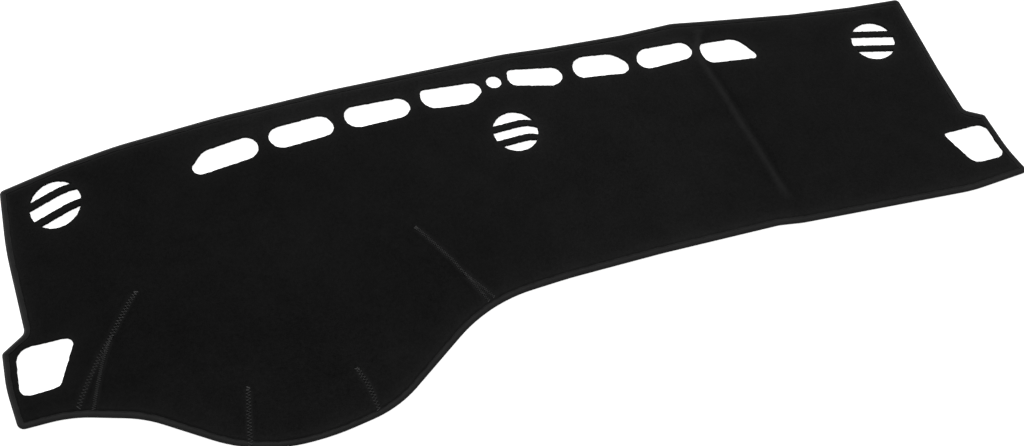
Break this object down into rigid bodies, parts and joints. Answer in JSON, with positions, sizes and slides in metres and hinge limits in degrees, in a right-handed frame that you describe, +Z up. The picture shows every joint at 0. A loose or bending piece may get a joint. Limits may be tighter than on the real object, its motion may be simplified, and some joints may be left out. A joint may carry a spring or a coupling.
{
  "type": "dashboard cover mat",
  "caption": "Black carpet mat that covers a car's dashboard top, with tape-bound edge, windscreen vent slots, round grilles, ear openings and a hood bulge.",
  "frame": {"origin": "on the floor, under the middle of the mat's box", "axes": "+X to the right end of the mat, +Y to its rear edge at the windscreen, +Z up out of the carpet face"},
  "size_m": [1.3993, 0.4944, 0.0165],
  "materials": {
    "carpet": "short velour pile, matt",
    "tape": "woven binding tape, matt",
    "thread": "spun sewing thread"
  },
  "bodies": {
    "root": {"mat_panel": "carpet", "edge_binding": "tape"}
  },
  "joints": []
}
